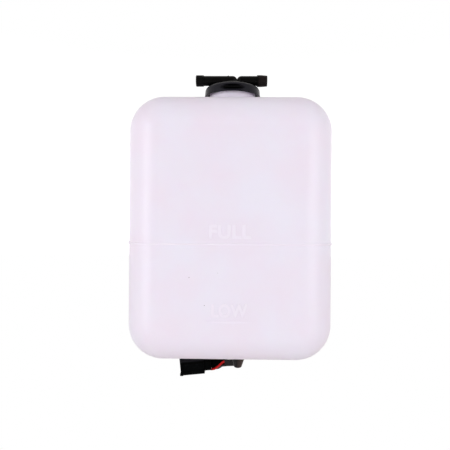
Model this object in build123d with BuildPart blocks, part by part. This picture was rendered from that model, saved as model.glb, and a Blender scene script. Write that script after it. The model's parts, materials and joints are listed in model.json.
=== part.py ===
from build123d import *
from math import cos, pi, radians, sin, tan
import os

# Coolant expansion tank, in millimetres
# The origin is the middle of the flat back: +X is right seen from the front, +Y is the back, +Z is up

# Tank
tank_width = 188
tank_height = 244
tank_depth = 114
tank_wall = 3
edge_round = 28
corner_extra = 5
full_level = 108
bead_height = 3.2
bead_proud = 1.4
bead_front = 0.45
bead_crest = 0.6
low_level = 39.2
low_bar_length = 43
low_bar_height = 1.6
low_bar_proud = 0.5

# Neck and cap
neck_right = 1.4
neck_radius = 22.8
neck_height = 12.8
neck_flare = 2.5
cap_gap = 0.3
seat_gap = 0.2
cap_wall = 2.4
skirt_depth = 9.4
skirt_top_wall = 3.7
skirt_spread = 1.0
rim_wall = 1.5
mouth_flare = 3.5
shoulder_round = 3.6
grip_drop = 5.5
grip_radius = 2.2
grip_depth = 2.6
rim_round = 0.5
seal_thickness = 1.6
seal_inset = 0.4

# Hose fitting and dip tube
pipe_radius = 4.85
pipe_rise = 8.1
pipe_bore = 2.2
left_reach = 36.5
right_reach = 34.5
leg_pitch = 9
left_land_radius = 5.5
left_land_length = 7.6
right_land_radius = 5.7
right_land_length = 4
right_nose_length = 6
nose_taper = 0.5
boss_radius = 13.2
boss_height = 5.2
boss_round = 4
stem_wall = 0.9
swivel_gap = 0.08
swivel_float = 0.2
gate_radius = 0.6
gate_rise = 0.5
gate_left = 4.3
retainer_width = 3.4
retainer_thickness = 1.8
stem_tail = 1.3
push_gap = 0.02
nipple_length = 12
nipple_wall = 1
dip_tube_wall = 2.2
tube_overlap = 8
foot_gap = 16

# Level sensor
sensor_right = 8.5
tube_clearance = 2.4
barrel_radius = 8.5
fit_gap = 0.05
grommet_wall = 2
grommet_lip = 2.4
grommet_thickness = 1.2
flange_radius = 11.5
flange_thickness = 1.0
barrel_rise = 2
shoulder_rise = 20
shoulder_radius = 5
stem_radius = 3.2
float_gap = 0.3
float_height = 15
float_travel = 12
magnet_height = 5
magnet_width = 2.2
magnet_wall = 0.9
clip_thickness = 1
clip_groove = 0.7
clip_radius = 5.6
clip_slot = 3.6
stem_tip = 2.4
reed_radius = 1.2
reed_length = 14
reed_gap = 0.25
potting_radius = 2.9
potting_depth = 6
stub_radius = 4.2
stub_depth = 1.2
pin_radius = 0.45
pin_reach = 3.8

# Boot and leads
boot_wall = 1.5
boot_flare = 1.3
boot_tip_radius = 3.4
boot_depth = 10.4
boot_round = 1.6
snout_turn = 37
snout_droop = 12.4
snout_drop = 5.8
snout_length = 15
snout_wall = 0.7
wire_radius = 1.1
wire_pitch = 2.8
wire_gap = 0.05
wire_start = 1
bend_in = 3
red_bend = (24.8, 22.5, 21.6)
red_bend_out = 2.5
black_bend = (21.2, 26.2, 23)
black_bend_out = 4.2
end_share = 0.9
middle_share = 0.45

# Plug
plug_left = 25.6
plug_from_back = 44
plug_drop = 16.8
plug_tilt = 6
plug_length = 23.8
plug_width = 20
plug_height = 18
plug_wall = 2
plug_round = 1.6
rear_block = 9
lip_proud = 0.5
lip_length = 2
latch_width = 7
latch_length = 5
latch_height = 1.6
jaw_length = 1.3
rail_height = 1.2
rail_spread = 5.6
terminal_pitch = 7
terminal_drop = 5.2
terminal_barrel = 1.4
terminal_pin = 0.75
terminal_reach = 11
wire_seal_radius = 2.2
wire_seal_depth = 5
wire_seal_recess = 0.3
lock_thickness = 2
lock_gap = 0.1
guard_wall = 1.4
guard_length = 24
guard_half = 8.6
guard_tongue = 7
guard_front = 7
guard_front_drop = 6.1
guard_back_drop = 8.6

# Places worked out from the sizes above
tank_top = tank_height / 2
tank_bottom = -tank_height / 2
tank_floor = tank_bottom + tank_wall
tank_middle = -tank_depth / 2
full_z = tank_bottom + full_level
low_z = tank_bottom + low_level
neck_bore = neck_radius - tank_wall
neck_foot = neck_radius + neck_flare
neck_top = tank_top + neck_height
cap_ceiling = neck_top + seat_gap + seal_thickness
cap_top = cap_ceiling + cap_wall
cap_rim = cap_top - skirt_depth
cap_fit = neck_radius + cap_gap
neck_axis = Axis((neck_right, tank_middle, 0), (0, 0, 1))
neck_plane = Plane(origin=(neck_right, tank_middle, 0), x_dir=(1, 0, 0), z_dir=(0, -1, 0))

stem_outer = leg_pitch + pipe_bore + stem_wall
stem_hole = stem_outer + swivel_gap
pipe_z = cap_top + pipe_rise
boss_bottom = cap_top + swivel_float
retainer_top = cap_ceiling - swivel_float
stem_bottom = retainer_top - retainer_thickness - stem_tail
nipple_radius = pipe_bore + nipple_wall
dip_tube_inner = nipple_radius + push_gap
dip_tube_outer = dip_tube_inner + dip_tube_wall
dip_tube_foot = tank_floor + foot_gap
dip_tube_middle = (stem_bottom + dip_tube_foot) / 2
dip_tube_spigot = dip_tube_inner + dip_tube_wall / 2

float_radius = barrel_radius - float_gap
sensor_y = tank_middle - dip_tube_outer - float_radius - tube_clearance
sensor_axis = Axis((sensor_right, sensor_y, 0), (0, 0, 1))
sensor_plane = Plane(origin=(sensor_right, sensor_y, 0), x_dir=(1, 0, 0), z_dir=(0, -1, 0))
grommet_bore = barrel_radius + fit_gap
port_radius = grommet_bore + grommet_wall
grommet_top = tank_floor + grommet_thickness
grommet_bottom = tank_bottom - grommet_thickness
flange_bottom = grommet_bottom - flange_thickness
barrel_top = grommet_top + barrel_rise
shoulder_z = tank_floor + shoulder_rise
float_bottom = shoulder_z + float_gap
float_top = float_bottom + float_height
float_bore = stem_radius + float_gap
magnet_inner = float_bore + magnet_wall
clip_bottom = float_top + float_travel + float_gap
clip_top = clip_bottom + clip_thickness
stem_top = clip_top + stem_tip
reed_middle = float_top - magnet_height / 2
reed_bottom = reed_middle - reed_length / 2
reed_bore = reed_radius + reed_gap
stub_bottom = flange_bottom - stub_depth
potting_top = stub_bottom + potting_depth

boot_inner = stub_radius + fit_gap
boot_radius = boot_inner + boot_wall + boot_flare
turn = radians(snout_turn)
droop = radians(snout_droop)
snout_line = Vector(-cos(turn) * cos(droop), sin(turn) * cos(droop), -sin(droop))
snout_up = Vector(-cos(turn) * sin(droop), sin(turn) * sin(droop), cos(droop))
snout_start = Vector(sensor_right, sensor_y, flange_bottom - snout_drop)
snout_plane = Plane(origin=snout_start, x_dir=snout_up, z_dir=snout_line)
wire_hole = wire_radius + wire_gap

tilt = radians(plug_tilt)
plug_line = Vector(-cos(tilt), 0, -sin(tilt))
plug_start = Vector(-plug_left, -plug_from_back, tank_bottom - plug_drop)
plug_plane = Plane(origin=plug_start, x_dir=(0, -1, 0), z_dir=plug_line)
terminal_places = [(terminal_pitch / 2, -terminal_drop), (-terminal_pitch / 2, -terminal_drop)]
socket_width = plug_width - 2 * plug_wall
socket_height = plug_height - 2 * plug_wall

os.makedirs("parts", exist_ok=True)


# A rounded box that stands inset from the tank's outside
def rounded_box(inset):
    with BuildPart() as box:
        with BuildSketch(Plane.XZ.offset(inset)):
            corner = edge_round + corner_extra - inset
            RectangleRounded(tank_width - 2 * inset, tank_height - 2 * inset, corner)
        extrude(amount=tank_depth - 2 * inset)
        ends = box.faces().sort_by(Axis.Y)
        fillet(ends[0].edges() + ends[-1].edges(), edge_round - inset)
    return box.part


# The bead stands proud at the front and sides and dies out into the flat back
def full_bead():
    with BuildPart() as bead:
        with BuildSketch(Plane.XY.offset(full_z - bead_height / 2)):
            with Locations((0, -(tank_depth + bead_front) / 2)):
                RectangleRounded(
                    tank_width + 2 * bead_proud, tank_depth + bead_front, edge_round + bead_proud
                )
        extrude(amount=bead_height)
        levels = bead.faces().sort_by(Axis.Z)
        chamfer(levels[0].edges() + levels[-1].edges(), (bead_height - bead_crest) / 2)
    return bead.part


# The hollow tank with its bead and low bar, open at the neck and at the sensor's port
def tank_form():
    outer_form = rounded_box(0)
    hollow_form = rounded_box(tank_wall)
    bead_form = full_bead()
    with BuildPart() as form:
        add(outer_form)
        add(bead_form)
        with BuildSketch(Plane.XZ.offset(tank_depth)):
            with Locations((0, low_z)):
                Rectangle(low_bar_length, low_bar_height)
        extrude(amount=low_bar_proud)
        add(hollow_form, mode=Mode.SUBTRACT)
        with BuildSketch(Plane.XY.offset(tank_top)):
            with Locations((neck_right, tank_middle)):
                Circle(neck_foot)
        extrude(amount=-2 * tank_wall, mode=Mode.SUBTRACT)
        with BuildSketch(Plane.XY.offset(tank_bottom)):
            with Locations((sensor_right, sensor_y)):
                Circle(port_radius)
        extrude(amount=2 * tank_wall, mode=Mode.SUBTRACT)
    return form.part


# The tank is blown in one piece: its two halves meet at the mould's parting plane
whole_tank = tank_form()
parting_plane = Plane.XZ.offset(tank_depth / 2)

# Tank front: the half with the level marks and the sensor's port
with BuildPart() as tank_front:
    add(whole_tank)
    split(bisect_by=parting_plane, keep=Keep.TOP)
tank_front.part.label = "tank_front"
export_step(tank_front.part, "parts/tank_front.step")

# Tank back: the half with the flat back
with BuildPart() as tank_back:
    add(whole_tank)
    split(bisect_by=parting_plane, keep=Keep.BOTTOM)
tank_back.part.label = "tank_back"
export_step(tank_back.part, "parts/tank_back.step")

# Tank neck: the ring in the top wall, with a flared foot
with BuildPart() as tank_neck:
    with BuildSketch(neck_plane):
        with BuildLine():
            Line((neck_bore, tank_top - tank_wall), (neck_bore, neck_top))
            Line((neck_bore, neck_top), (neck_radius, neck_top))
            Line((neck_radius, neck_top), (neck_radius, tank_top + neck_flare))
            RadiusArc(
                (neck_radius, tank_top + neck_flare),
                (neck_foot, tank_top),
                -neck_flare,
            )
            Line((neck_foot, tank_top), (neck_foot, tank_top - tank_wall))
            Line((neck_foot, tank_top - tank_wall), (neck_bore, tank_top - tank_wall))
        make_face()
    revolve(axis=neck_axis)
tank_neck.part.label = "tank_neck"
export_step(tank_neck.part, "parts/tank_neck.step")

# Cap cover: soft skirt with a finger groove in front and a round hole for the fitting's stem
skirt_top = cap_fit + skirt_top_wall
rim_radius = skirt_top + skirt_spread
grip_z = cap_top - grip_drop
grip_y = tank_middle - skirt_top - skirt_spread * grip_drop / skirt_depth + grip_depth - grip_radius
with BuildPart() as cap_cover:
    with BuildSketch(neck_plane):
        with BuildLine():
            Polyline(
                (stem_hole, cap_top),
                (skirt_top, cap_top),
                (rim_radius, cap_rim),
                (rim_radius - rim_wall, cap_rim),
                (cap_fit, cap_rim + mouth_flare),
                (cap_fit, cap_ceiling),
                (stem_hole, cap_ceiling),
                close=True,
            )
        make_face()
    revolve(axis=neck_axis)
    fillet(
        cap_cover.edges().filter_by(GeomType.CIRCLE).group_by(Axis.Z)[-1].sort_by(SortBy.RADIUS)[-1],
        shoulder_round,
    )
    fillet(
        cap_cover.edges().filter_by(GeomType.CIRCLE).group_by(Axis.Z)[0].sort_by(SortBy.RADIUS)[-1],
        rim_round,
    )
    with BuildSketch(Plane.YZ.offset(neck_right)):
        with Locations((grip_y, grip_z)):
            Circle(grip_radius)
    extrude(amount=rim_radius, both=True, mode=Mode.SUBTRACT)
cap_cover.part.label = "cap_cover"
export_step(cap_cover.part, "parts/cap_cover.step")

# Cap seal: flat ring between the neck's rim and the cap's ceiling
with BuildPart() as cap_seal:
    with BuildSketch(Plane.XY.offset(cap_ceiling)):
        with Locations((neck_right, tank_middle)):
            Circle(neck_radius - seal_inset / 2)
            Circle(neck_bore + seal_inset, mode=Mode.SUBTRACT)
    extrude(amount=-seal_thickness)
cap_seal.part.label = "cap_seal"
export_step(cap_seal.part, "parts/cap_seal.step")

# Hose fitting: boss on the cap, a stem through it, and two elbows that share a notch
left_leg = neck_right
right_leg = neck_right + leg_pitch
left_tip = neck_right - left_reach
right_tip = neck_right + right_reach
pipe_axis = Axis((0, tank_middle, pipe_z), (1, 0, 0))
pipe_plane = Plane(origin=(0, tank_middle, pipe_z), x_dir=(1, 0, 0), z_dir=(0, -1, 0))
left_neck = left_tip + left_land_length
right_back = right_tip - right_nose_length - right_land_length
right_front = right_tip - right_nose_length
with BuildPart() as hose_fitting:
    with BuildSketch(Plane.XY.offset(boss_bottom)):
        with Locations((neck_right, tank_middle)):
            Circle(boss_radius)
    extrude(amount=boss_height)
    fillet(hose_fitting.edges().group_by(Axis.Z)[-1], boss_round)
    with BuildSketch(Plane.XY.offset(boss_bottom)):
        with Locations((neck_right, tank_middle)):
            Circle(stem_outer)
    extrude(amount=stem_bottom - boss_bottom)
    with BuildSketch(Plane.XY.offset(stem_bottom)):
        with Locations((neck_right, tank_middle)):
            Circle(nipple_radius)
    extrude(amount=-nipple_length)
    with BuildSketch(Plane.XY.offset(boss_bottom)):
        with Locations((left_leg, tank_middle), (right_leg, tank_middle)):
            Circle(pipe_radius)
    extrude(amount=pipe_z - boss_bottom)
    with Locations((left_leg, tank_middle, pipe_z), (right_leg, tank_middle, pipe_z)):
        Sphere(pipe_radius)
    with BuildSketch(pipe_plane):
        with BuildLine():
            Polyline(
                (left_leg, 0),
                (left_leg, pipe_radius),
                (left_neck, pipe_radius),
                (left_neck, left_land_radius),
                (left_tip + nose_taper, left_land_radius),
                (left_tip, left_land_radius - nose_taper),
                (left_tip, 0),
                close=True,
            )
        make_face()
        with BuildLine():
            Polyline(
                (right_leg, 0),
                (right_leg, pipe_radius),
                (right_back, pipe_radius),
                (right_back, right_land_radius),
                (right_front, right_land_radius),
                (right_tip, right_land_radius - nose_taper),
                (right_tip, 0),
                close=True,
            )
        make_face()
    revolve(axis=pipe_axis)
    with BuildSketch(Plane.XY.offset(pipe_z)):
        with Locations((left_leg - gate_left, tank_middle)):
            Circle(gate_radius)
    extrude(amount=pipe_radius + gate_rise)
    with BuildSketch(Plane.YZ.offset(left_tip)):
        with Locations((tank_middle, pipe_z)):
            Circle(pipe_bore)
    extrude(amount=left_reach, mode=Mode.SUBTRACT)
    with BuildSketch(Plane.YZ.offset(right_tip)):
        with Locations((tank_middle, pipe_z)):
            Circle(pipe_bore)
    extrude(amount=leg_pitch - right_reach, mode=Mode.SUBTRACT)
    with BuildSketch(Plane.XY.offset(pipe_z)):
        with Locations((left_leg, tank_middle), (right_leg, tank_middle)):
            Circle(pipe_bore)
    extrude(amount=stem_bottom - nipple_length - pipe_z, mode=Mode.SUBTRACT)
    with Locations((left_leg, tank_middle, pipe_z), (right_leg, tank_middle, pipe_z)):
        Sphere(pipe_bore, mode=Mode.SUBTRACT)
hose_fitting.part.label = "hose_fitting"
export_step(hose_fitting.part, "parts/hose_fitting.step")

# Fitting retainer: ring pushed onto the stem under the cap
with BuildPart() as fitting_retainer:
    with BuildSketch(Plane.XY.offset(retainer_top)):
        with Locations((neck_right, tank_middle)):
            Circle(stem_outer + retainer_width)
            Circle(stem_outer + push_gap, mode=Mode.SUBTRACT)
    extrude(amount=-retainer_thickness)
fitting_retainer.part.label = "fitting_retainer"
export_step(fitting_retainer.part, "parts/fitting_retainer.step")

# Dip tube: the upper length, pushed over the nipple, with a thinner end
with BuildPart() as dip_tube:
    with BuildSketch(Plane.XY.offset(stem_bottom)):
        with Locations((neck_right, tank_middle)):
            Circle(dip_tube_outer)
    extrude(amount=dip_tube_middle - stem_bottom)
    with BuildSketch(Plane.XY.offset(dip_tube_middle)):
        with Locations((neck_right, tank_middle)):
            Circle(dip_tube_spigot)
    extrude(amount=-tube_overlap)
    with BuildSketch(Plane.XY.offset(stem_bottom)):
        with Locations((neck_right, tank_middle)):
            Circle(dip_tube_inner)
    extrude(amount=dip_tube_foot - stem_bottom, mode=Mode.SUBTRACT)
dip_tube.part.label = "dip_tube"
export_step(dip_tube.part, "parts/dip_tube.step")

# Dip tube end: the lower length, pushed over the upper one's thinner end
with BuildPart() as dip_tube_end:
    with BuildSketch(Plane.XY.offset(dip_tube_middle)):
        with Locations((neck_right, tank_middle)):
            Circle(dip_tube_outer)
            Circle(dip_tube_inner, mode=Mode.SUBTRACT)
    extrude(amount=dip_tube_foot - dip_tube_middle)
    with BuildSketch(Plane.XY.offset(dip_tube_middle)):
        with Locations((neck_right, tank_middle)):
            Circle(dip_tube_spigot + push_gap)
    extrude(amount=-tube_overlap, mode=Mode.SUBTRACT)
dip_tube_end.part.label = "dip_tube_end"
export_step(dip_tube_end.part, "parts/dip_tube_end.step")

# Sensor grommet: rubber ring that grips both sides of the floor
grommet_lip_radius = port_radius + grommet_lip
with BuildPart() as sensor_grommet:
    with BuildSketch(sensor_plane):
        with BuildLine():
            Polyline(
                (grommet_bore, grommet_bottom),
                (grommet_lip_radius, grommet_bottom),
                (grommet_lip_radius, tank_bottom),
                (port_radius - fit_gap, tank_bottom),
                (port_radius - fit_gap, tank_floor),
                (grommet_lip_radius, tank_floor),
                (grommet_lip_radius, grommet_top),
                (grommet_bore, grommet_top),
                close=True,
            )
        make_face()
    revolve(axis=sensor_axis)
sensor_grommet.part.label = "sensor_grommet"
export_step(sensor_grommet.part, "parts/sensor_grommet.step")

# Sensor body: flange, barrel and stem, bored for the switch and its resin
with BuildPart() as sensor_body:
    with BuildSketch(sensor_plane):
        with BuildLine():
            Polyline(
                (0, stub_bottom),
                (stub_radius, stub_bottom),
                (stub_radius, flange_bottom),
                (flange_radius, flange_bottom),
                (flange_radius, grommet_bottom),
                (barrel_radius, grommet_bottom),
                (barrel_radius, barrel_top),
                (shoulder_radius, barrel_top),
                (shoulder_radius, shoulder_z),
                (stem_radius, shoulder_z),
                (stem_radius, clip_bottom),
                (stem_radius - clip_groove, clip_bottom),
                (stem_radius - clip_groove, clip_top),
                (stem_radius, clip_top),
                (stem_radius, stem_top),
                (0, stem_top),
                close=True,
            )
        make_face()
    revolve(axis=sensor_axis)
    with BuildSketch(Plane.XY.offset(stub_bottom)):
        with Locations((sensor_right, sensor_y)):
            Circle(potting_radius)
    extrude(amount=potting_depth, mode=Mode.SUBTRACT)
    with BuildSketch(Plane.XY.offset(potting_top)):
        with Locations((sensor_right, sensor_y)):
            Circle(reed_bore)
    extrude(amount=reed_middle + reed_length / 2 - potting_top, mode=Mode.SUBTRACT)
sensor_body.part.label = "sensor_body"
export_step(sensor_body.part, "parts/sensor_body.step")

# Reed switch: round-ended glass capsule at the height of the magnet when the float is down
with BuildPart() as reed_switch:
    with BuildSketch(Plane.XY.offset(reed_bottom)):
        with Locations((sensor_right, sensor_y)):
            Circle(reed_radius)
    extrude(amount=reed_length)
    fillet(reed_switch.edges().filter_by(GeomType.CIRCLE), reed_radius * 0.8)
reed_switch.part.label = "reed_switch"
export_step(reed_switch.part, "parts/reed_switch.step")

# Level float: ring with a pocket for its magnet in the top
with BuildPart() as level_float:
    with BuildSketch(Plane.XY.offset(float_bottom)):
        with Locations((sensor_right, sensor_y)):
            Circle(float_radius)
            Circle(float_bore, mode=Mode.SUBTRACT)
    extrude(amount=float_height)
    with BuildSketch(Plane.XY.offset(float_top)):
        with Locations((sensor_right, sensor_y)):
            Circle(magnet_inner + magnet_width)
            Circle(magnet_inner, mode=Mode.SUBTRACT)
    extrude(amount=-magnet_height, mode=Mode.SUBTRACT)
level_float.part.label = "level_float"
export_step(level_float.part, "parts/level_float.step")

# Float magnet: ring seated in the float's pocket
with BuildPart() as float_magnet:
    with BuildSketch(Plane.XY.offset(float_top - magnet_height)):
        with Locations((sensor_right, sensor_y)):
            Circle(magnet_inner + magnet_width - fit_gap)
            Circle(magnet_inner + fit_gap, mode=Mode.SUBTRACT)
    extrude(amount=magnet_height - fit_gap)
float_magnet.part.label = "float_magnet"
export_step(float_magnet.part, "parts/float_magnet.step")

# Float clip: open ring in the stem's groove, stops the float at the top
clip_bore = stem_radius - clip_groove + fit_gap
with BuildPart() as float_clip:
    with BuildSketch(Plane.XY.offset(clip_bottom)):
        with Locations((sensor_right, sensor_y)):
            Circle(clip_radius)
            Circle(clip_bore, mode=Mode.SUBTRACT)
        with Locations((sensor_right + clip_radius / 2, sensor_y)):
            Rectangle(clip_radius, clip_slot, mode=Mode.SUBTRACT)
    extrude(amount=clip_thickness)
float_clip.part.label = "float_clip"
export_step(float_clip.part, "parts/float_clip.step")

# Sensor pins: two wires that come down out of the resin into the boot
pin_offset = wire_pitch / 2
pin_places = [
    (sensor_right + pin_offset * sin(turn), sensor_y + pin_offset * cos(turn)),
    (sensor_right - pin_offset * sin(turn), sensor_y - pin_offset * cos(turn)),
]
with BuildPart() as sensor_pins:
    with BuildSketch(Plane.XY.offset(potting_top)):
        with Locations(*pin_places):
            Circle(pin_radius)
    extrude(amount=-potting_depth - pin_reach)
sensor_pins.part.label = "sensor_pins"
export_step(sensor_pins.part, "parts/sensor_pins.step")

# Sensor potting: resin plug round the pins
with BuildPart() as sensor_potting:
    with BuildSketch(Plane.XY.offset(stub_bottom)):
        with Locations((sensor_right, sensor_y)):
            Circle(potting_radius - push_gap)
        with Locations(*pin_places):
            Circle(pin_radius + push_gap, mode=Mode.SUBTRACT)
    extrude(amount=potting_depth)
sensor_potting.part.label = "sensor_potting"
export_step(sensor_potting.part, "parts/sensor_potting.step")

# Sensor boot: tapered rubber cup with a drooping snout for the two leads, one above the other
snout_width = wire_pitch + 2 * (wire_radius + snout_wall)
snout_height = 2 * (wire_radius + snout_wall)
boot_bottom = flange_bottom - boot_depth
with BuildPart() as sensor_boot:
    with BuildSketch(sensor_plane):
        with BuildLine():
            Polyline(
                (0, flange_bottom),
                (boot_radius, flange_bottom),
                (boot_tip_radius, boot_bottom),
                (0, boot_bottom),
                close=True,
            )
        make_face()
    revolve(axis=sensor_axis)
    fillet(sensor_boot.edges().group_by(Axis.Z)[0], boot_round)
    with BuildSketch(snout_plane):
        SlotOverall(snout_width, snout_height)
    extrude(amount=snout_length)
    with BuildSketch(sensor_plane):
        with BuildLine():
            Polyline(
                (0, flange_bottom),
                (boot_inner, flange_bottom),
                (boot_inner, stub_bottom),
                (boot_tip_radius - boot_wall, boot_bottom + boot_wall),
                (0, boot_bottom + boot_wall),
                close=True,
            )
        make_face()
    revolve(axis=sensor_axis, mode=Mode.SUBTRACT)
    with BuildSketch(snout_plane):
        with Locations((pin_offset, 0), (-pin_offset, 0)):
            Circle(wire_hole)
    extrude(amount=snout_length, mode=Mode.SUBTRACT)
sensor_boot.part.label = "sensor_boot"
export_step(sensor_boot.part, "parts/sensor_boot.step")


# A lead's route in the open: from the snout's mouth round its free bend to the plug's rear face
# The bend is given left of the sensor's axis, behind it and below the tank
def free_route(side, bend, bend_out):
    mouth = snout_start + snout_up * (side * pin_offset) + snout_line * snout_length
    middle = Vector(sensor_right - bend[0], sensor_y + bend[1], tank_bottom - bend[2])
    entry = plug_plane.from_local_coords((side * terminal_pitch / 2, -terminal_drop, 0))
    return [mouth, mouth + snout_line * bend_in, middle, entry - plug_line * bend_out, entry]


# The same route with its straight ends inside the snout and the plug
def whole_route(free):
    start = free[0] - snout_line * (snout_length - wire_start)
    return [start, *free[1:-1], free[-1] + plug_line * wire_seal_depth]


# The largest bend at each corner that leaves both of its open runs room
def bend_radii(free):
    runs = [(after - before).length for before, after in zip(free, free[1:])]
    rooms = [end_share * runs[0], *[middle_share * run for run in runs[1:-1]], end_share * runs[-1]]
    radii = []
    for before, here, after, room in zip(free, free[1:], free[2:], zip(rooms, rooms[1:])):
        half_turn = radians((here - before).get_angle(after - here)) / 2
        radii.append(min(room) / tan(half_turn))
    return radii


red_free = free_route(1, red_bend, red_bend_out)
black_free = free_route(-1, black_bend, black_bend_out)
red_bends = bend_radii(red_free)
black_bends = bend_radii(black_free)

# Red lead
with BuildPart() as wire_red:
    with BuildLine() as red_line:
        FilletPolyline(*whole_route(red_free), radius=red_bends)
    with BuildSketch(Plane(origin=red_line.line @ 0, z_dir=red_line.line % 0)):
        Circle(wire_radius)
    sweep()
wire_red.part.label = "wire_red"
export_step(wire_red.part, "parts/wire_red.step")

# Black lead
with BuildPart() as wire_black:
    with BuildLine() as black_line:
        FilletPolyline(*whole_route(black_free), radius=black_bends)
    with BuildSketch(Plane(origin=black_line.line @ 0, z_dir=black_line.line % 0)):
        Circle(wire_radius)
    sweep()
wire_black.part.label = "wire_black"
export_step(wire_black.part, "parts/wire_black.step")

for lead, line, bends in ((wire_red, red_line, red_bends), (wire_black, black_line, black_bends)):
    length = sum(edge.length for edge in line.edges())
    share = lead.part.volume / (pi * wire_radius**2 * length)
    print(lead.part.label, "length", round(length, 2), "volume share", round(share, 4))
    print("bend radii", [round(bend, 1) for bend in bends])

# Plug housing: box with a socket to the left, a lip and jaw at its mouth, side rails and a latch on top
with BuildPart() as connector_housing:
    with BuildSketch(plug_plane):
        RectangleRounded(plug_width, plug_height, plug_round)
    extrude(amount=plug_length)
    with BuildSketch(plug_plane.offset(plug_length - lip_length)):
        RectangleRounded(plug_width + 2 * lip_proud, plug_height + 2 * lip_proud, plug_round + lip_proud)
    extrude(amount=lip_length)
    with BuildSketch(plug_plane.offset(rear_block)):
        with Locations((0, plug_height / 2)):
            Rectangle(latch_width, 2 * latch_height)
    extrude(amount=latch_length)
    with BuildSketch(plug_plane):
        with Locations((0, rail_spread), (0, -rail_spread)):
            Rectangle(plug_width + 2 * lip_proud, rail_height)
    extrude(amount=plug_length)
    with BuildSketch(plug_plane.offset(plug_length)):
        with Locations((0, -plug_height / 2 - lip_proud)):
            Rectangle(socket_width, plug_wall, align=(Align.CENTER, Align.MIN))
    extrude(amount=jaw_length)
    with BuildSketch(plug_plane.offset(rear_block)):
        Rectangle(socket_width, socket_height)
    extrude(amount=plug_length - rear_block, mode=Mode.SUBTRACT)
    with BuildSketch(plug_plane):
        with Locations(*terminal_places):
            Circle(wire_seal_radius)
    extrude(amount=wire_seal_depth, mode=Mode.SUBTRACT)
    with BuildSketch(plug_plane.offset(wire_seal_depth)):
        with Locations(*terminal_places):
            Circle(terminal_barrel + push_gap)
    extrude(amount=rear_block - wire_seal_depth, mode=Mode.SUBTRACT)
connector_housing.part.label = "connector_housing"
export_step(connector_housing.part, "parts/connector_housing.step")

# Terminals: a barrel in the housing and a pin into the socket, one for each lead
with BuildPart() as connector_terminals:
    with BuildSketch(plug_plane.offset(wire_seal_depth)):
        with Locations(*terminal_places):
            Circle(terminal_barrel)
    extrude(amount=rear_block - wire_seal_depth)
    with BuildSketch(plug_plane.offset(rear_block)):
        with Locations(*terminal_places):
            Circle(terminal_pin)
    extrude(amount=terminal_reach)
connector_terminals.part.label = "connector_terminals"
export_step(connector_terminals.part, "parts/connector_terminals.step")

# Wire seals: a rubber sleeve round each lead
with BuildPart() as wire_seals:
    with BuildSketch(plug_plane.offset(wire_seal_recess)):
        with Locations(*terminal_places):
            Circle(wire_seal_radius - push_gap)
            Circle(wire_hole, mode=Mode.SUBTRACT)
    extrude(amount=wire_seal_depth - wire_seal_recess)
wire_seals.part.label = "wire_seals"
export_step(wire_seals.part, "parts/wire_seals.step")

# Terminal lock: plate at the foot of the socket that keeps the barrels back
with BuildPart() as terminal_lock:
    with BuildSketch(plug_plane.offset(rear_block)):
        Rectangle(socket_width - 2 * lock_gap, socket_height - 2 * lock_gap)
        with Locations(*terminal_places):
            Circle(terminal_pin + lock_gap, mode=Mode.SUBTRACT)
    extrude(amount=lock_thickness)
terminal_lock.part.label = "terminal_lock"
export_step(terminal_lock.part, "parts/terminal_lock.step")

# Lead guard: hood behind the plug, with a tongue over its top, open to the front and below
guard_top = plug_height / 2 + push_gap
with BuildPart() as lead_guard:
    with BuildSketch(plug_plane):
        with Locations((-guard_half, guard_top)):
            Rectangle(guard_wall, guard_top + guard_back_drop, align=(Align.MIN, Align.MAX))
        with Locations((0, guard_top)):
            Rectangle(2 * guard_half, guard_wall, align=(Align.CENTER, Align.MIN))
    extrude(amount=-guard_length)
    with BuildSketch(plug_plane):
        with Locations((guard_half, guard_top)):
            Rectangle(guard_wall, guard_top + guard_front_drop, align=(Align.MAX, Align.MAX))
    extrude(amount=-guard_front)
    with BuildSketch(plug_plane):
        with Locations((0, guard_top)):
            Rectangle(2 * guard_half, guard_wall, align=(Align.CENTER, Align.MIN))
    extrude(amount=guard_tongue)
lead_guard.part.label = "lead_guard"
export_step(lead_guard.part, "parts/lead_guard.step")
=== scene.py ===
import bpy
import bmesh
import json
from math import cos, radians, sin
from mathutils import Matrix, Vector


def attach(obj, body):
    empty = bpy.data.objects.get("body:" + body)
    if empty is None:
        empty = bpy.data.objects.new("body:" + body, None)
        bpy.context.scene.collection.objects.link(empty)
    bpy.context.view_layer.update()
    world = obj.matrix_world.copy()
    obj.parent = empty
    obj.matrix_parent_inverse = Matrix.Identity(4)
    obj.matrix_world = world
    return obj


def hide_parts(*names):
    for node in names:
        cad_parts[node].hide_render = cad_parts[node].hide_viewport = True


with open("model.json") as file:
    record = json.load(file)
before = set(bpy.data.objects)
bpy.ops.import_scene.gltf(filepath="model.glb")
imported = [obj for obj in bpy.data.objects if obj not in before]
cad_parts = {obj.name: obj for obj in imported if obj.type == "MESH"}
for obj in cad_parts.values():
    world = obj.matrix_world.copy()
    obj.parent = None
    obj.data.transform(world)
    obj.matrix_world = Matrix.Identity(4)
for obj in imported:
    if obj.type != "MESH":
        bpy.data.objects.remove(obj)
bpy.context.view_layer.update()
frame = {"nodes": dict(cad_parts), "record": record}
nodes = frame["nodes"]
collection = bpy.context.scene.collection
print("frame loaded:", len(nodes), "nodes")

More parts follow.
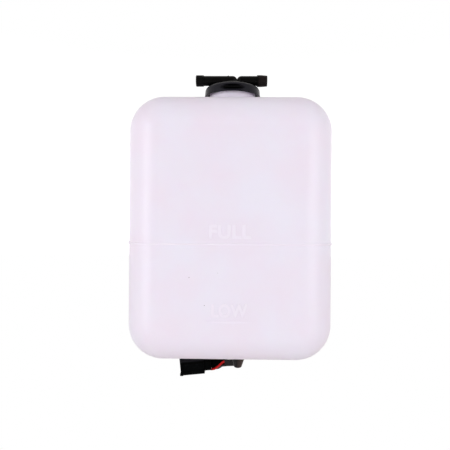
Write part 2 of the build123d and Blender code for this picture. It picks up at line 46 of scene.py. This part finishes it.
# camera, fitted to the photo's corners of the tank
cameraSpot = {
    "place": (0.00206, -0.51334, 0.00281),
    "yaw": 0.899,
    "roll": 0.42,
    "lens": 36.42,
    "sensor": 36.0,
}
yaw, roll = radians(cameraSpot["yaw"]), radians(cameraSpot["roll"])
lookAlong = Vector((-sin(yaw), cos(yaw), 0))
lookRight = Vector((cos(yaw), sin(yaw), 0))
lookUp = Vector((0, 0, 1))
cameraX = lookRight * cos(roll) + lookUp * sin(roll)
cameraY = lookUp * cos(roll) - lookRight * sin(roll)
cameraData = bpy.data.cameras.new("tankCamera")
cameraData.sensor_width = cameraSpot["sensor"]
cameraData.lens = cameraSpot["lens"]
cameraObject = bpy.data.objects.new("tankCamera", cameraData)
collection.objects.link(cameraObject)
turned = Matrix((cameraX, cameraY, -lookAlong)).transposed().to_4x4()
cameraObject.matrix_world = Matrix.Translation(cameraSpot["place"]) @ turned
bpy.context.scene.camera = cameraObject
bpy.context.scene.view_settings.view_transform = "Standard"
print("camera set")


# node helpers
def addNode(tree, kind, **values):
    node = tree.nodes.new(kind)
    for key, value in values.items():
        setattr(node, key, value)
    return node


# a socket takes a link from another socket, or a plain value
def feed(tree, socket, value):
    if isinstance(value, bpy.types.NodeSocket):
        tree.links.new(value, socket)
    elif socket.type == "RGBA":
        socket.default_value = (*value, 1.0)
    else:
        socket.default_value = value


def addNoise(tree, vector, scale, noiseBody):
    noise = addNode(tree, "ShaderNodeTexNoise")
    feed(tree, noise.inputs["Vector"], vector)
    feed(tree, noise.inputs["Scale"], scale)
    feed(tree, noise.inputs["Detail"], noiseBody["detail"])
    feed(tree, noise.inputs["Roughness"], noiseBody["roughness"])
    return noise.outputs["Fac"]


def addSpread(tree, value, low, high, toLow=0.0, toHigh=1.0):
    spread = addNode(tree, "ShaderNodeMapRange")
    ends = {"Value": value, "From Min": low, "From Max": high, "To Min": toLow, "To Max": toHigh}
    for label, end in ends.items():
        feed(tree, spread.inputs[label], end)
    return spread.outputs["Result"]


def addMath(tree, operation, *values):
    math = addNode(tree, "ShaderNodeMath", operation=operation)
    for socket, value in zip(math.inputs, values):
        feed(tree, socket, value)
    return math.outputs["Value"]


def addVector(tree, operation, *values):
    vector = addNode(tree, "ShaderNodeVectorMath", operation=operation)
    for socket, value in zip(vector.inputs, values):
        feed(tree, socket, value)
    return vector.outputs["Value" if operation in ("DOT_PRODUCT", "LENGTH") else "Vector"]


def addTint(tree, mask, first, second):
    mix = addNode(tree, "ShaderNodeMix", data_type="RGBA")
    for label, value in (("Factor", mask), ("A", first), ("B", second)):
        feed(tree, mix.inputs[label], value)
    return mix.outputs["Result"]


# a shader group with its named inputs and outputs, reading the piece's own coordinates
def openGroup(name, inputKinds, outputLabels):
    tree = bpy.data.node_groups.new(name, "ShaderNodeTree")
    for label, kind in inputKinds.items():
        tree.interface.new_socket(label, in_out="INPUT", socket_type=kind)
    for label in outputLabels:
        tree.interface.new_socket(label, in_out="OUTPUT", socket_type="NodeSocketFloat")
    place = addNode(tree, "ShaderNodeTexCoord").outputs["Object"]
    return tree, addNode(tree, "NodeGroupInput").outputs, addNode(tree, "NodeGroupOutput").inputs, place


def placeGroup(tree, group, values):
    node = addNode(tree, "ShaderNodeGroup", node_tree=group)
    for label, value in values.items():
        node.inputs[label].default_value = value
    return node.outputs


numberKind, vectorKind = "NodeSocketFloat", "NodeSocketVector"

# the mottle of moulded plastic: fine grain, slow cloud and faint rub marks
mottleBody = {
    "grain": {"detail": 2.0, "roughness": 0.6},
    "cloud": {"detail": 4.0, "roughness": 0.5, "span": (0.32, 0.68)},
    "rub": {"detail": 5.0, "roughness": 0.7, "span": (0.56, 0.74), "turn": (0.3, 0.5, 0.9), "stretch": (1.0, 9.0, 1.6)},
}


def makeMouldMottle():
    inputKinds = {"Grain scale": numberKind, "Cloud scale": numberKind, "Rub scale": numberKind}
    tree, entry, leave, place = openGroup("mouldMottle", inputKinds, ("Grain", "Cloud", "Rub"))
    feed(tree, leave["Grain"], addNoise(tree, place, entry["Grain scale"], mottleBody["grain"]))
    cloud = addNoise(tree, place, entry["Cloud scale"], mottleBody["cloud"])
    feed(tree, leave["Cloud"], addSpread(tree, cloud, *mottleBody["cloud"]["span"]))
    drawn = addNode(tree, "ShaderNodeMapping")
    feed(tree, drawn.inputs["Vector"], place)
    feed(tree, drawn.inputs["Rotation"], mottleBody["rub"]["turn"])
    feed(tree, drawn.inputs["Scale"], mottleBody["rub"]["stretch"])
    rub = addNoise(tree, drawn.outputs["Vector"], entry["Rub scale"], mottleBody["rub"])
    feed(tree, leave["Rub"], addSpread(tree, rub, *mottleBody["rub"]["span"]))
    return tree


# a band across a piece: full from start to end along one direction, soft outside them
def makeToneBand():
    inputKinds = {"Along": vectorKind, "Start": numberKind, "End": numberKind, "Soft": numberKind}
    tree, entry, leave, place = openGroup("toneBand", inputKinds, ("Mask",))
    level = addVector(tree, "DOT_PRODUCT", place, entry["Along"])
    rising = addSpread(tree, level, addMath(tree, "SUBTRACT", entry["Start"], entry["Soft"]), entry["Start"])
    falling = addSpread(tree, level, entry["End"], addMath(tree, "ADD", entry["End"], entry["Soft"]), 1.0, 0.0)
    feed(tree, leave["Mask"], addMath(tree, "MULTIPLY", rising, falling))
    return tree


# an oval spot: full in its heart, fading to nothing at its half sizes
def makeToneSpot():
    inputKinds = {"Place": vectorKind, "Half": vectorKind, "Soft": numberKind, "Share": numberKind}
    tree, entry, leave, place = openGroup("toneSpot", inputKinds, ("Mask",))
    offset = addVector(tree, "SUBTRACT", place, entry["Place"])
    away = addVector(tree, "LENGTH", addVector(tree, "DIVIDE", offset, entry["Half"]))
    heart = addMath(tree, "SUBTRACT", 1.0, entry["Soft"])
    feed(tree, leave["Mask"], addSpread(tree, away, heart, 1.0, entry["Share"], 0.0))
    return tree


mouldMottle = makeMouldMottle()
toneBand = makeToneBand()
toneSpot = makeToneSpot()
cloudRoughening = 0.6  # how much of the roughness range the cloud takes, beside the rub marks


# one finish: two tones drifting over the piece, a rub tone, bands and spots of other tones (real specks, and some
# painted highlights and painted shade), a roughness range and a grain
def makeFinish(name, look):
    material = bpy.data.materials.new(name)
    material.use_nodes = True
    tree = material.node_tree
    shader = tree.nodes["Principled BSDF"]
    mottle = placeGroup(tree, mouldMottle, {
        "Grain scale": look["grainScale"], "Cloud scale": look["cloudScale"], "Rub scale": look["rubScale"],
    })
    base = addTint(tree, mottle["Cloud"], look["tone"], look["driftTone"])
    rubMask = addMath(tree, "MULTIPLY", mottle["Rub"], look["rubAmount"])
    base = addTint(tree, rubMask, base, look["rubTone"])
    for group, marks in ((toneBand, look.get("bands", [])), (toneSpot, look.get("spots", []))):
        for mark in marks:
            base = addTint(tree, placeGroup(tree, group, mark["mask"])["Mask"], base, mark["tone"])
    feed(tree, shader.inputs["Base Color"], base)
    mixed = addMath(tree, "MULTIPLY_ADD", mottle["Cloud"], cloudRoughening, rubMask)
    feed(tree, shader.inputs["Roughness"], addSpread(tree, mixed, 0.0, 1.0, *look["rough"]))
    bump = addNode(tree, "ShaderNodeBump")
    feed(tree, bump.inputs["Strength"], look["bump"])
    feed(tree, bump.inputs["Distance"], look["bumpDepth"])
    feed(tree, bump.inputs["Height"], mottle["Grain"])
    feed(tree, shader.inputs["Normal"], bump.outputs["Normal"])
    for label, value in look.get("sockets", {}).items():
        shader.inputs[label].default_value = value
    return material


# the plug's tilt and middle, for the painted highlight along its upper rail and the painted shade line under it
plugPose = {"tilt": 6, "middle": (-0.0256, -0.0440, -0.1388)}
plugTilt = radians(plugPose["tilt"])
plugUp = (-sin(plugTilt), 0.0, cos(plugTilt))
plugRise = Vector(plugUp).dot(Vector(plugPose["middle"]))

toRight, toTop = (1.0, 0.0, 0.0), (0.0, 0.0, 1.0)
farEnd = 0.05  # past the end of any piece that a band runs off
speckBody = {"Soft": 0.5, "Share": 0.9}


def makeSpeck(place, radius, tone):
    return {"mask": {"Place": place, "Half": (radius, radius, radius), **speckBody}, "tone": tone}


finishes = {
    "tank_plastic": {
        "tone": (0.866, 0.784, 0.894), "driftTone": (0.854, 0.820, 0.930), "rubTone": (0.885, 0.845, 0.925),
        "rubAmount": 0.10, "rough": (0.30, 0.40), "grainScale": 900.0, "cloudScale": 24.0, "rubScale": 60.0,
        "bands": [  # the bead's crest, lighter: a painted highlight
            {"mask": {"Along": toTop, "Start": -0.0149, "End": -0.0137, "Soft": 0.0004}, "tone": (0.906, 0.844, 0.955)},
        ],
        "spots": [  # three specks of dirt, then the low bar's crest, lighter: a painted highlight
            makeSpeck((-0.0219, -0.1140, -0.0680), 0.00042, (0.09, 0.07, 0.07)),
            makeSpeck((-0.0355, -0.1140, -0.0435), 0.00045, (0.09, 0.07, 0.07)),
            makeSpeck((-0.0103, -0.1140, -0.0394), 0.00032, (0.30, 0.26, 0.28)),
            # painted highlight: a lighter oval along the low bar's crest
            {
                "mask": {"Place": (0.0, -0.1144, -0.0826), "Half": (0.0240, 0.0040, 0.0012), "Soft": 0.5, "Share": 0.8},
                "tone": (0.900, 0.840, 0.952),
            },
        ],
        "bump": 0.12, "bumpDepth": 0.0002,
        "sockets": {
            "Subsurface Weight": 0.12, "Subsurface Radius": (0.008, 0.006, 0.009),
            "IOR": 1.52, "Specular IOR Level": 0.32,
        },
    },
    # the raised words: a lighter copy of the tank plastic, a painted highlight on the letters
    "raised_marks": {
        "tone": (0.896, 0.836, 0.948), "driftTone": (0.902, 0.844, 0.952), "rubTone": (0.905, 0.86, 0.955),
        "rubAmount": 0.2, "rough": (0.30, 0.40), "grainScale": 900.0, "cloudScale": 40.0, "rubScale": 90.0,
        "bump": 0.12, "bumpDepth": 0.0002,
        "sockets": {"Subsurface Weight": 0.12, "Subsurface Radius": (0.008, 0.006, 0.009), "IOR": 1.52},
    },
    "cap_plastic": {
        "tone": (0.0120, 0.0115, 0.0158), "driftTone": (0.0165, 0.0158, 0.0212), "rubTone": (0.030, 0.030, 0.036),
        "rubAmount": 0.2, "rough": (0.18, 0.28), "grainScale": 1600.0, "cloudScale": 55.0, "rubScale": 140.0,
        "spots": [  # painted shade: the finger groove darkened
            {
                "mask": {
                    "Place": (0.0014, -0.0830, 0.1338), "Half": (0.0134, 0.0300, 0.0031), "Soft": 0.4, "Share": 1.0,
                },
                "tone": (0.0003, 0.0003, 0.0004),
            },
        ],
        "bump": 0.15, "bumpDepth": 0.0001, "sockets": {"IOR": 1.5, "Specular IOR Level": 0.11},
    },
    "fitting_plastic": {
        "tone": (0.0014, 0.0012, 0.0013), "driftTone": (0.0028, 0.0023, 0.0023), "rubTone": (0.012, 0.009, 0.008),
        "rubAmount": 0.25, "rough": (0.34, 0.50), "grainScale": 1800.0, "cloudScale": 60.0, "rubScale": 160.0,
        "bands": [  # the right spigot's worn end
            {
                "mask": {"Along": toRight, "Start": 0.0276, "End": farEnd, "Soft": 0.0008},
                "tone": (0.0105, 0.0072, 0.0072),
            },
        ],
        "bump": 0.2, "bumpDepth": 0.0001, "sockets": {"IOR": 1.46, "Specular IOR Level": 0.11},
    },
    "seal_rubber": {
        "tone": (0.018, 0.018, 0.018), "driftTone": (0.030, 0.029, 0.028), "rubTone": (0.07, 0.068, 0.065),
        "rubAmount": 0.35, "rough": (0.62, 0.82), "grainScale": 1400.0, "cloudScale": 80.0, "rubScale": 200.0,
        "bump": 0.3, "bumpDepth": 0.0001,
    },
    "tube_plastic": {
        "tone": (0.72, 0.70, 0.65), "driftTone": (0.78, 0.76, 0.72), "rubTone": (0.84, 0.82, 0.78),
        "rubAmount": 0.2, "rough": (0.3, 0.42), "grainScale": 1200.0, "cloudScale": 40.0, "rubScale": 110.0,
        "bump": 0.12, "bumpDepth": 0.0001,
        "sockets": {"Subsurface Weight": 0.1, "Subsurface Radius": (0.004, 0.004, 0.004)},
    },
    "sensor_plastic": {
        "tone": (0.022, 0.022, 0.024), "driftTone": (0.032, 0.032, 0.034), "rubTone": (0.07, 0.07, 0.07),
        "rubAmount": 0.25, "rough": (0.38, 0.52), "grainScale": 1700.0, "cloudScale": 70.0, "rubScale": 170.0,
        "bump": 0.2, "bumpDepth": 0.0001,
    },
    "reed_glass": {
        "tone": (0.80, 0.88, 0.84), "driftTone": (0.86, 0.92, 0.89), "rubTone": (0.90, 0.94, 0.92),
        "rubAmount": 0.1, "rough": (0.02, 0.06), "grainScale": 900.0, "cloudScale": 120.0, "rubScale": 200.0,
        "bump": 0.03, "bumpDepth": 0.0001, "sockets": {"Transmission Weight": 1.0, "IOR": 1.5},
    },
    "float_plastic": {
        "tone": (0.045, 0.045, 0.045), "driftTone": (0.065, 0.064, 0.062), "rubTone": (0.10, 0.10, 0.10),
        "rubAmount": 0.2, "rough": (0.6, 0.8), "grainScale": 1000.0, "cloudScale": 90.0, "rubScale": 160.0,
        "bump": 0.5, "bumpDepth": 0.0002,
    },
    "magnet_ferrite": {
        "tone": (0.05, 0.05, 0.053), "driftTone": (0.08, 0.08, 0.083), "rubTone": (0.16, 0.16, 0.16),
        "rubAmount": 0.3, "rough": (0.5, 0.7), "grainScale": 2400.0, "cloudScale": 150.0, "rubScale": 260.0,
        "bump": 0.3, "bumpDepth": 0.0001,
    },
    "clip_steel": {
        "tone": (0.52, 0.52, 0.53), "driftTone": (0.62, 0.62, 0.62), "rubTone": (0.75, 0.75, 0.74),
        "rubAmount": 0.4, "rough": (0.22, 0.38), "grainScale": 2600.0, "cloudScale": 160.0, "rubScale": 420.0,
        "bump": 0.1, "bumpDepth": 0.00005, "sockets": {"Metallic": 1.0},
    },
    "pin_brass": {
        "tone": (0.62, 0.57, 0.44), "driftTone": (0.72, 0.68, 0.56), "rubTone": (0.82, 0.80, 0.74),
        "rubAmount": 0.35, "rough": (0.2, 0.36), "grainScale": 2600.0, "cloudScale": 200.0, "rubScale": 420.0,
        "bump": 0.1, "bumpDepth": 0.00005, "sockets": {"Metallic": 1.0},
    },
    "resin": {
        "tone": (0.012, 0.012, 0.012), "driftTone": (0.018, 0.018, 0.018), "rubTone": (0.03, 0.03, 0.03),
        "rubAmount": 0.15, "rough": (0.1, 0.2), "grainScale": 500.0, "cloudScale": 90.0, "rubScale": 120.0,
        "bump": 0.1, "bumpDepth": 0.0002,
    },
    "boot_rubber": {
        "tone": (0.003, 0.003, 0.004), "driftTone": (0.008, 0.007, 0.007), "rubTone": (0.030, 0.026, 0.025),
        "rubAmount": 0.3, "rough": (0.16, 0.30), "grainScale": 1500.0, "cloudScale": 90.0, "rubScale": 180.0,
        "bands": [  # the boot's right side lighter and browner: painted light on its lit side
            {"mask": {"Along": toRight, "Start": 0.0115, "End": farEnd, "Soft": 0.0045}, "tone": (0.050, 0.033, 0.028)},
        ],
        "bump": 0.25, "bumpDepth": 0.0001, "sockets": {"IOR": 1.5, "Specular IOR Level": 0.24},
    },
    "red_sleeve": {
        "tone": (0.47, 0.002, 0.003), "driftTone": (0.54, 0.004, 0.005), "rubTone": (0.64, 0.03, 0.03),
        "rubAmount": 0.2, "rough": (0.30, 0.44), "grainScale": 2400.0, "cloudScale": 120.0, "rubScale": 260.0,
        "bump": 0.1, "bumpDepth": 0.00005, "sockets": {"Specular IOR Level": 0.18},
    },
    "black_sleeve": {
        "tone": (0.004, 0.004, 0.005), "driftTone": (0.008, 0.008, 0.009), "rubTone": (0.03, 0.03, 0.03),
        "rubAmount": 0.25, "rough": (0.3, 0.45), "grainScale": 2400.0, "cloudScale": 120.0, "rubScale": 260.0,
        "bump": 0.1, "bumpDepth": 0.00005, "sockets": {"Specular IOR Level": 0.12},
    },
    "plug_plastic": {
        "tone": (0.0007, 0.0010, 0.0012), "driftTone": (0.0016, 0.0020, 0.0023), "rubTone": (0.012, 0.013, 0.014),
        "rubAmount": 0.3, "rough": (0.36, 0.52), "grainScale": 1900.0, "cloudScale": 80.0, "rubScale": 180.0,
        "bands": [  # the upper rail lighter, a painted highlight, and a painted shade line under it
            {
                "mask": {"Along": plugUp, "Start": plugRise + 0.0049, "End": plugRise + 0.02, "Soft": 0.0007},
                "tone": (0.0115, 0.0112, 0.0135),
            },
            {
                "mask": {"Along": plugUp, "Start": plugRise + 0.0026, "End": plugRise + 0.0034, "Soft": 0.0004},
                "tone": (0.0002, 0.0002, 0.0002),
            },
        ],
        "bump": 0.22, "bumpDepth": 0.0001, "sockets": {"IOR": 1.46, "Specular IOR Level": 0.03},
    },
    "wire_seal_rubber": {
        "tone": (0.22, 0.085, 0.05), "driftTone": (0.28, 0.11, 0.07), "rubTone": (0.35, 0.17, 0.12),
        "rubAmount": 0.3, "rough": (0.55, 0.72), "grainScale": 1700.0, "cloudScale": 150.0, "rubScale": 260.0,
        "bump": 0.2, "bumpDepth": 0.0001,
    },
    "lock_plastic": {
        "tone": (0.62, 0.62, 0.60), "driftTone": (0.69, 0.69, 0.67), "rubTone": (0.76, 0.76, 0.74),
        "rubAmount": 0.2, "rough": (0.38, 0.5), "grainScale": 1700.0, "cloudScale": 120.0, "rubScale": 220.0,
        "bump": 0.18, "bumpDepth": 0.0001,
    },
}
finish = {slotName: makeFinish(slotName + "Finish", look) for slotName, look in finishes.items()}
for entry in frame["record"]["subparts"]:
    data = nodes[entry["node"]].data
    data.materials.clear()
    data.materials.append(finish[entry["material_slot"]])
print("finishes made:", len(finish))

# leads: the route's points as in the part's source, in metres, but for the red one's middle point, which is given here
leads = {
    "redLead": {
        "node": "wire_red", "slot": "red_sleeve", "length": 0.0500,
        "route": [
            (0.0075, -0.0723, -0.1288), (-0.0034, -0.0640, -0.1319), (-0.0058, -0.0623, -0.1325),
            (-0.0149, -0.0516, -0.1443), (-0.0226, -0.0475, -0.1440), (-0.0251, -0.0475, -0.1440),
            (-0.0300, -0.0475, -0.1445),
        ],
        "carries": ["connector_housing", "connector_terminals", "wire_seals", "terminal_lock", "lead_guard"],
    },
    "blackLead": {
        "node": "wire_black", "slot": "black_sleeve", "length": 0.0552,
        "route": [
            (0.0080, -0.0726, -0.1316), (-0.0030, -0.0644, -0.1346), (-0.0053, -0.0626, -0.1352),
            (-0.0127, -0.0468, -0.1450), (-0.0209, -0.0405, -0.1435), (-0.0251, -0.0405, -0.1440),
            (-0.0300, -0.0405, -0.1445),
        ],
        "carries": ["connector_housing"],
    },
}
leadBody = {"radius": 0.0011, "steps": 16, "roundness": 6}
for name, lead in leads.items():
    curve = bpy.data.curves.new(name, "CURVE")
    curve.dimensions = "3D"
    spline = curve.splines.new("NURBS")
    spline.points.add(len(lead["route"]) - 1)
    for point, place in zip(spline.points, lead["route"]):
        point.co = (*place, 1.0)
    spline.order_u = 3
    spline.use_endpoint_u = True
    spline.resolution_u = leadBody["steps"]
    curve.bevel_depth = leadBody["radius"]
    curve.bevel_resolution = leadBody["roundness"]
    curve.use_fill_caps = True
    curve.materials.append(finish[lead["slot"]])
    piece = bpy.data.objects.new(name, curve)
    collection.objects.link(piece)
    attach(piece, "tank")
    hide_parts(lead["node"])
print("leads laid")

# raised level words on the face
levelWords = {
    "wordFull": {"text": "FULL", "left": -0.0184, "right": 0.0191, "low": -0.0095, "high": 0.0031},
    "wordLow": {"text": "LOW", "left": -0.0157, "right": 0.0161, "low": -0.0786, "high": -0.0665},
}
wordBody = {
    "face": -0.114, "raise": 0.0004, "sink": 0.0003,
    "weight": 0.022, "soften": 0.018, "softenSteps": 2, "extrude": 0.02, "spacing": 1.06, "merge": 1e-6,
}
for name, word in levelWords.items():
    text = bpy.data.curves.new(name, "FONT")
    text.body = word["text"]
    text.size = 1.0
    text.offset = wordBody["weight"]
    text.extrude = wordBody["extrude"]
    text.bevel_depth = wordBody["soften"]
    text.bevel_resolution = wordBody["softenSteps"]
    text.space_character = wordBody["spacing"]
    draft = bpy.data.objects.new(name + "Draft", text)
    collection.objects.link(draft)
    bpy.context.view_layer.update()
    mesh = bpy.data.meshes.new_from_object(draft.evaluated_get(bpy.context.evaluated_depsgraph_get()))
    bpy.data.objects.remove(draft)
    spans = [[min(v.co[axis] for v in mesh.vertices), max(v.co[axis] for v in mesh.vertices)] for axis in range(3)]
    wide = (word["right"] - word["left"]) / (spans[0][1] - spans[0][0])
    tall = (word["high"] - word["low"]) / (spans[1][1] - spans[1][0])
    deep = (wordBody["raise"] + wordBody["sink"]) / (spans[2][1] - spans[2][0])
    for vertex in mesh.vertices:
        across, along, out = vertex.co
        vertex.co = (
            word["left"] + (across - spans[0][0]) * wide,
            wordBody["face"] + wordBody["sink"] - (out - spans[2][0]) * deep,
            word["low"] + (along - spans[1][0]) * tall,
        )
    shape = bmesh.new()
    shape.from_mesh(mesh)
    bmesh.ops.remove_doubles(shape, verts=shape.verts, dist=wordBody["merge"])
    bmesh.ops.recalc_face_normals(shape, faces=shape.faces)
    shape.to_mesh(mesh)
    shape.free()
    mesh.materials.clear()
    mesh.materials.append(finish["raised_marks"])
    mesh.name = name
    piece = bpy.data.objects.new(name, mesh)
    collection.objects.link(piece)
    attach(piece, "tank")
print("level words raised")

# mould parting line: a fine ridge round the tank at half its depth, left out under the neck
partingRidge = {
    "Width": 0.188, "Height": 0.244, "Corner": 0.033, "Depth place": -0.057, "Ridge": 0.00035,
    "Neck place": 0.0014, "Neck half": 0.0235,
}
ridgeSteps = {"corner": 20, "outline": 520, "profile": 10}


def makeRidgeTree():
    tree = bpy.data.node_groups.new("partingRidgeTree", "GeometryNodeTree")
    for label, start in partingRidge.items():
        socket = tree.interface.new_socket(label, in_out="INPUT", socket_type="NodeSocketFloat")
        socket.default_value = start
    tree.interface.new_socket("Finish", in_out="INPUT", socket_type="NodeSocketMaterial")
    tree.interface.new_socket("Geometry", in_out="OUTPUT", socket_type="NodeSocketGeometry")
    entry = addNode(tree, "NodeGroupInput")
    leave = addNode(tree, "NodeGroupOutput")
    outline = addNode(tree, "GeometryNodeCurvePrimitiveQuadrilateral")
    tree.links.new(entry.outputs["Width"], outline.inputs["Width"])
    tree.links.new(entry.outputs["Height"], outline.inputs["Height"])
    corners = addNode(tree, "GeometryNodeFilletCurve", mode="POLY")
    corners.inputs["Count"].default_value = ridgeSteps["corner"]
    tree.links.new(outline.outputs["Curve"], corners.inputs["Curve"])
    tree.links.new(entry.outputs["Corner"], corners.inputs["Radius"])
    even = addNode(tree, "GeometryNodeResampleCurve", mode="COUNT")
    even.inputs["Count"].default_value = ridgeSteps["outline"]
    tree.links.new(corners.outputs["Curve"], even.inputs["Curve"])
    stand = addNode(tree, "GeometryNodeTransform")
    stand.inputs["Rotation"].default_value = (radians(90), 0.0, 0.0)
    back = addNode(tree, "ShaderNodeCombineXYZ")
    tree.links.new(entry.outputs["Depth place"], back.inputs["Y"])
    tree.links.new(back.outputs["Vector"], stand.inputs["Translation"])
    tree.links.new(even.outputs["Curve"], stand.inputs["Geometry"])
    profile = addNode(tree, "GeometryNodeCurvePrimitiveCircle", mode="RADIUS")
    profile.inputs["Resolution"].default_value = ridgeSteps["profile"]
    tree.links.new(entry.outputs["Ridge"], profile.inputs["Radius"])
    swept = addNode(tree, "GeometryNodeCurveToMesh")
    tree.links.new(stand.outputs["Geometry"], swept.inputs["Curve"])
    tree.links.new(profile.outputs["Curve"], swept.inputs["Profile Curve"])
    place = addNode(tree, "GeometryNodeInputPosition")
    split = addNode(tree, "ShaderNodeSeparateXYZ")
    tree.links.new(place.outputs["Position"], split.inputs["Vector"])
    aside = addMath(tree, "SUBTRACT", split.outputs["X"], entry.outputs["Neck place"])
    nearNeck = addMath(tree, "LESS_THAN", addMath(tree, "ABSOLUTE", aside), entry.outputs["Neck half"])
    above = addMath(tree, "GREATER_THAN", split.outputs["Z"], 0.0)
    gap = addNode(tree, "GeometryNodeDeleteGeometry", domain="FACE")
    tree.links.new(swept.outputs["Mesh"], gap.inputs["Geometry"])
    tree.links.new(addMath(tree, "MULTIPLY", nearNeck, above), gap.inputs["Selection"])
    real = addNode(tree, "GeometryNodeRealizeInstances")
    tree.links.new(gap.outputs["Geometry"], real.inputs["Geometry"])
    dressed = addNode(tree, "GeometryNodeSetMaterial")
    tree.links.new(real.outputs["Geometry"], dressed.inputs["Geometry"])
    tree.links.new(entry.outputs["Finish"], dressed.inputs["Material"])
    tree.links.new(dressed.outputs["Geometry"], leave.inputs["Geometry"])
    return tree


ridgeTree = makeRidgeTree()
ridgeDraft = bpy.data.objects.new("partingRidgeDraft", bpy.data.meshes.new("partingRidgeDraft"))
collection.objects.link(ridgeDraft)
ridgeModifier = ridgeDraft.modifiers.new("partingRidge", "NODES")
ridgeModifier.node_group = ridgeTree
for item in ridgeTree.interface.items_tree:
    if item.item_type == "SOCKET" and item.in_out == "INPUT":
        isFinish = item.name == "Finish"
        ridgeModifier[item.identifier] = finish["tank_plastic"] if isFinish else partingRidge[item.name]
bpy.context.view_layer.update()
ridgeMesh = bpy.data.meshes.new_from_object(ridgeDraft.evaluated_get(bpy.context.evaluated_depsgraph_get()))
ridgeDraft.modifiers.remove(ridgeModifier)
bpy.data.objects.remove(ridgeDraft)
shape = bmesh.new()
shape.from_mesh(ridgeMesh)
bmesh.ops.holes_fill(shape, edges=[edge for edge in shape.edges if edge.is_boundary])
bmesh.ops.recalc_face_normals(shape, faces=shape.faces)
shape.to_mesh(ridgeMesh)
shape.free()
ridgeMesh.name = "partingRidge"
for polygon in ridgeMesh.polygons:
    polygon.use_smooth = True
ridgePiece = bpy.data.objects.new("partingRidge", ridgeMesh)
collection.objects.link(ridgePiece)
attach(ridgePiece, "tank")
print("parting ridge swept:", len(ridgeMesh.polygons), "faces")

# studio: white surround that is dark behind the camera, two tall softboxes, a rear fill and a pale floor
studio = {
    "surround": 1.4,
    "behindCamera": 0.09,
    "darkAlong": (0.0, -0.99, 0.12),
    "darkFrom": 0.58,
    "darkTo": 0.82,
    "poleFade": 0.6,
    "poleTone": (1.0, 0.945, 0.915),
    "sideFade": 0.2,
    "sideFrom": 0.5,
    "backFade": 0.1,
    "backTo": 0.9,
    "boxTone": (0.965, 0.988, 1.0),
    "boxes": [
        {"name": "leftBox", "place": (-0.80, -0.92, 0.02), "size": (0.6, 1.0), "power": 6.15},
        {"name": "rightBox", "place": (0.70, -0.91, 0.02), "size": (0.6, 1.0), "power": 4.8},
        {"name": "rearFill", "place": (0.25, 1.15, 0.45), "size": (0.9, 0.9), "power": 3.2, "mirrored": False},
    ],
    "aim": (0.0, -0.06, 0.0),
    "floorZ": -0.30,
    "floorHalf": 4.0,
    "floorTone": (0.75, 0.725, 0.715),
    "floorRough": 0.9,
}
world = bpy.data.worlds.new("studioWorld")
bpy.context.scene.world = world
world.use_nodes = True
worldTree = world.node_tree
surround = worldTree.nodes["Background"]
direction = addNode(worldTree, "ShaderNodeTexCoord").outputs["Generated"]
toCamera = addVector(worldTree, "DOT_PRODUCT", direction, studio["darkAlong"])
wall = addSpread(
    worldTree, toCamera, studio["darkFrom"], studio["darkTo"], studio["surround"], studio["behindCamera"]
)
heading = addNode(worldTree, "ShaderNodeSeparateXYZ")
feed(worldTree, heading.inputs["Vector"], direction)
steep = addMath(worldTree, "ABSOLUTE", heading.outputs["Z"])
sideways = addMath(worldTree, "ABSOLUTE", heading.outputs["X"])
fades = (
    addSpread(worldTree, steep, 0.0, 1.0, 1.0, 1.0 - studio["poleFade"]),
    addSpread(worldTree, sideways, studio["sideFrom"], 1.0, 1.0, 1.0 - studio["sideFade"]),
    addSpread(worldTree, heading.outputs["Y"], 0.0, studio["backTo"], 1.0, 1.0 - studio["backFade"]),
)
for fade in fades:
    wall = addMath(worldTree, "MULTIPLY", wall, fade)
seen = addNode(worldTree, "ShaderNodeLightPath").outputs["Is Camera Ray"]
feed(worldTree, surround.inputs["Strength"], addMath(worldTree, "MAXIMUM", wall, seen))
warmth = addMath(worldTree, "MULTIPLY", steep, addMath(worldTree, "SUBTRACT", 1.0, seen))
feed(worldTree, surround.inputs["Color"], addTint(worldTree, warmth, (1.0, 1.0, 1.0), studio["poleTone"]))
for box in studio["boxes"]:
    lamp = bpy.data.lights.new(box["name"], "AREA")
    lamp.shape = "RECTANGLE"
    lamp.size, lamp.size_y = box["size"]
    lamp.energy = box["power"]
    lamp.color = studio["boxTone"]
    lampObject = bpy.data.objects.new(box["name"], lamp)
    collection.objects.link(lampObject)
    toward = Vector(studio["aim"]) - Vector(box["place"])
    aimed = toward.to_track_quat("-Z", "Y").to_matrix().to_4x4()
    lampObject.matrix_world = Matrix.Translation(box["place"]) @ aimed
    lampObject.visible_camera = False
    lampObject.visible_glossy = box.get("mirrored", True)

half, level = studio["floorHalf"], studio["floorZ"]
floorMesh = bpy.data.meshes.new("paleFloor")
floorMesh.from_pydata(
    [(-half, -half, level), (half, -half, level), (half, half, level), (-half, half, level)], [], [(0, 1, 2, 3)],
)
floorObject = bpy.data.objects.new("paleFloor", floorMesh)
collection.objects.link(floorObject)
floorFinish = bpy.data.materials.new("paleFloorFinish")
floorFinish.use_nodes = True
floorTree = floorFinish.node_tree
floorShader = floorTree.nodes["Principled BSDF"]
feed(floorTree, floorShader.inputs["Base Color"], studio["floorTone"])
feed(floorTree, floorShader.inputs["Roughness"], studio["floorRough"])
floorGlow = addNode(floorTree, "ShaderNodeEmission")
feed(floorTree, floorGlow.inputs["Color"], (1.0, 1.0, 1.0))
floorSeen = addNode(floorTree, "ShaderNodeLightPath")
floorMix = addNode(floorTree, "ShaderNodeMixShader")
floorTree.links.new(floorSeen.outputs["Is Camera Ray"], floorMix.inputs["Fac"])
floorTree.links.new(floorShader.outputs["BSDF"], floorMix.inputs[1])
floorTree.links.new(floorGlow.outputs["Emission"], floorMix.inputs[2])
floorTree.links.new(floorMix.outputs["Shader"], floorTree.nodes["Material Output"].inputs["Surface"])
floorMesh.materials.append(floorFinish)
print("studio set")
